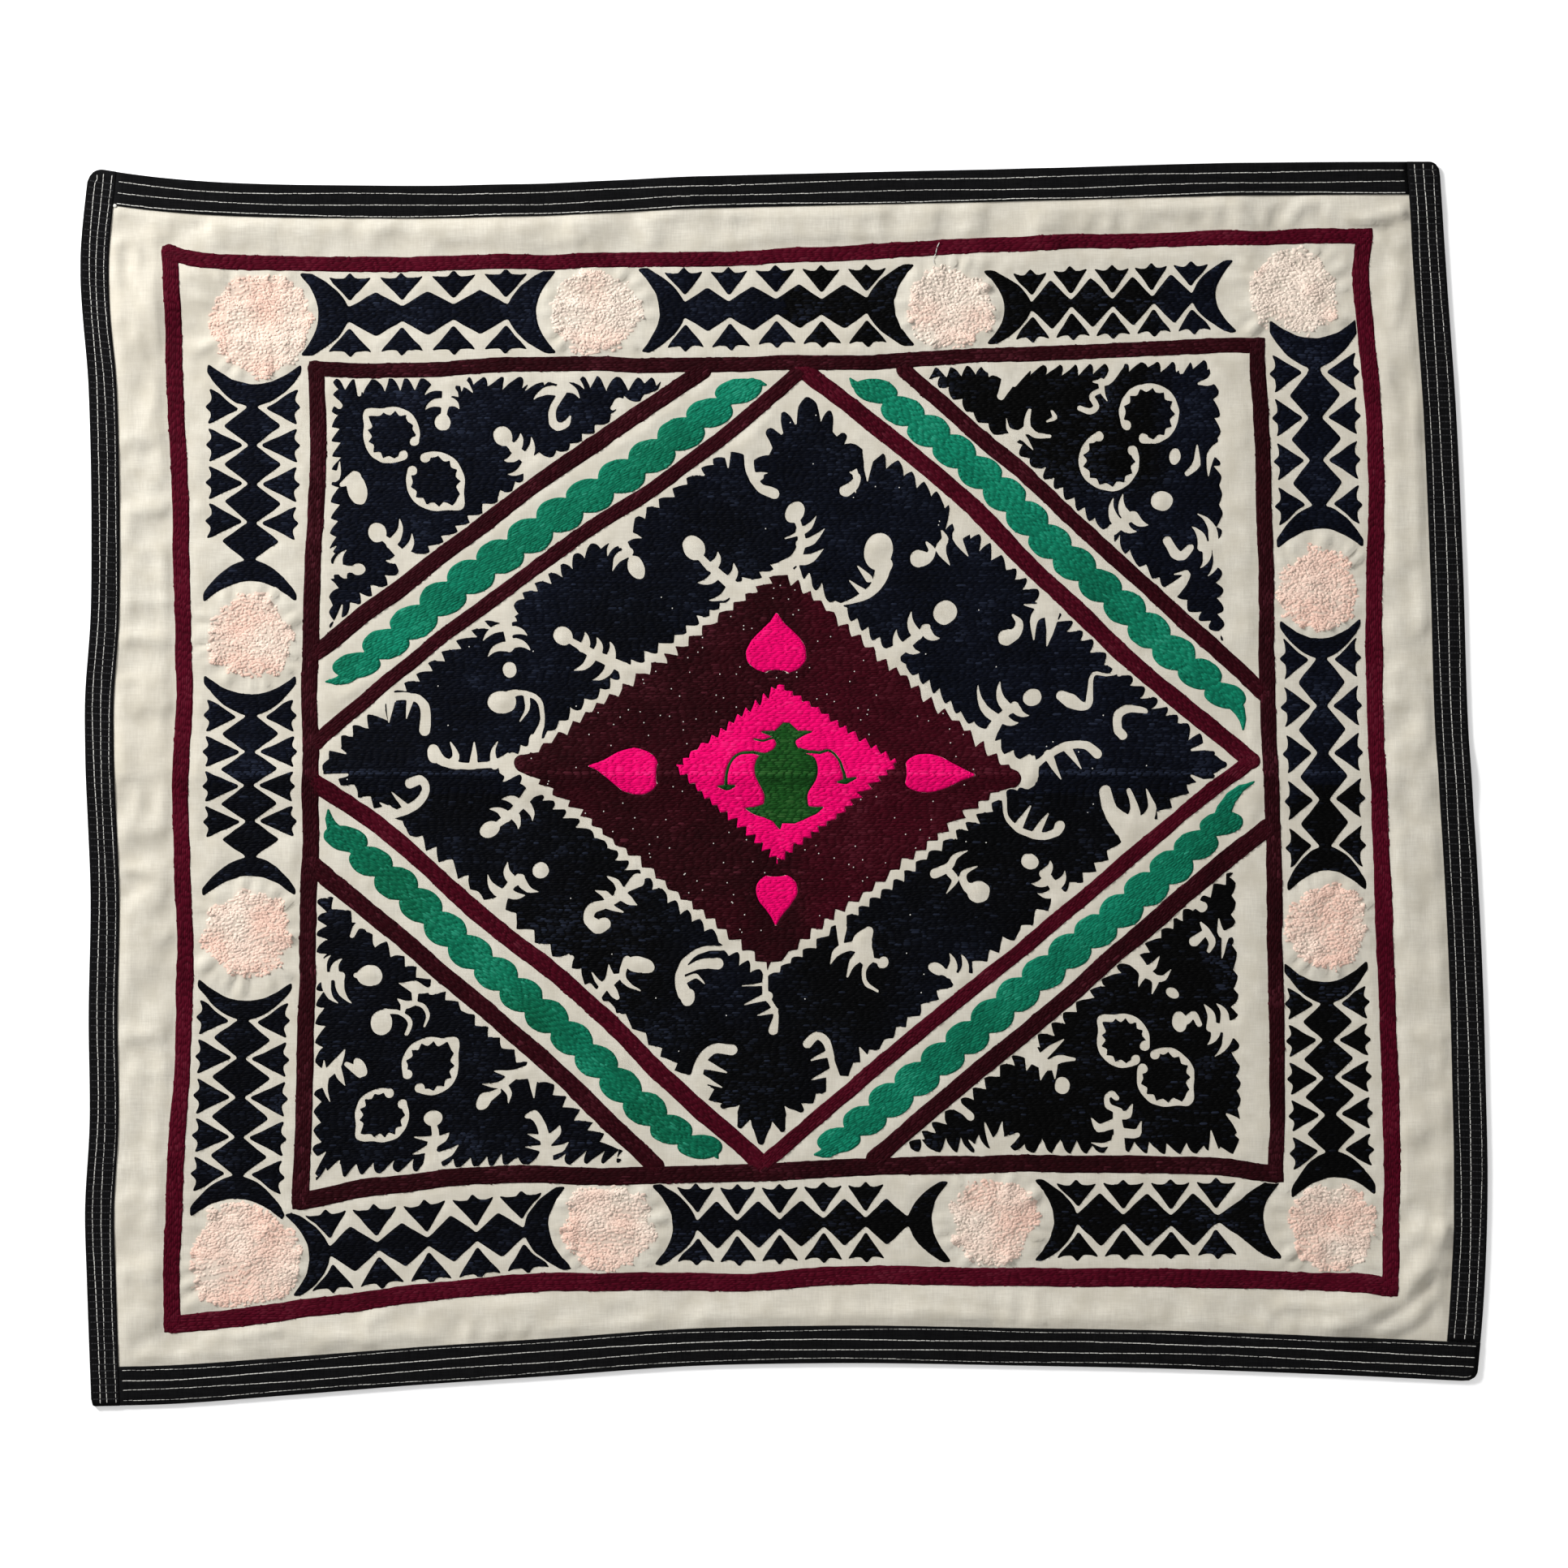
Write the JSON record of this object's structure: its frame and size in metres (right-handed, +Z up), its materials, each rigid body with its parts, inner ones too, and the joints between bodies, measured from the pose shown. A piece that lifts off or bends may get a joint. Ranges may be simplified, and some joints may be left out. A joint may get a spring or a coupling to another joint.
{
  "type": "embroidered tablecloth",
  "caption": "Rectangular cotton tablecloth with dense folk embroidery on a pale ground and a dark folded binding on every edge, laid out flat to cover a table.",
  "frame": {"origin": "under the middle of the cloth, on the surface that it rests on", "axes": "+X along the longer sides, to the right as the face is seen; +Y towards the top edge; +Z up, out of the embroidered face"},
  "size_m": [1.538, 1.36, 0.0071],
  "materials": {
    "ground_cotton": "matt plain-woven cotton, embroidered",
    "binding_cotton": "matt black cotton strip with rows of topstitching"
  },
  "bodies": {
    "root": {"ground_cloth": "ground_cotton", "binding_left": "binding_cotton", "binding_right": "binding_cotton", "binding_bottom": "binding_cotton", "binding_top": "binding_cotton"}
  },
  "joints": []
}
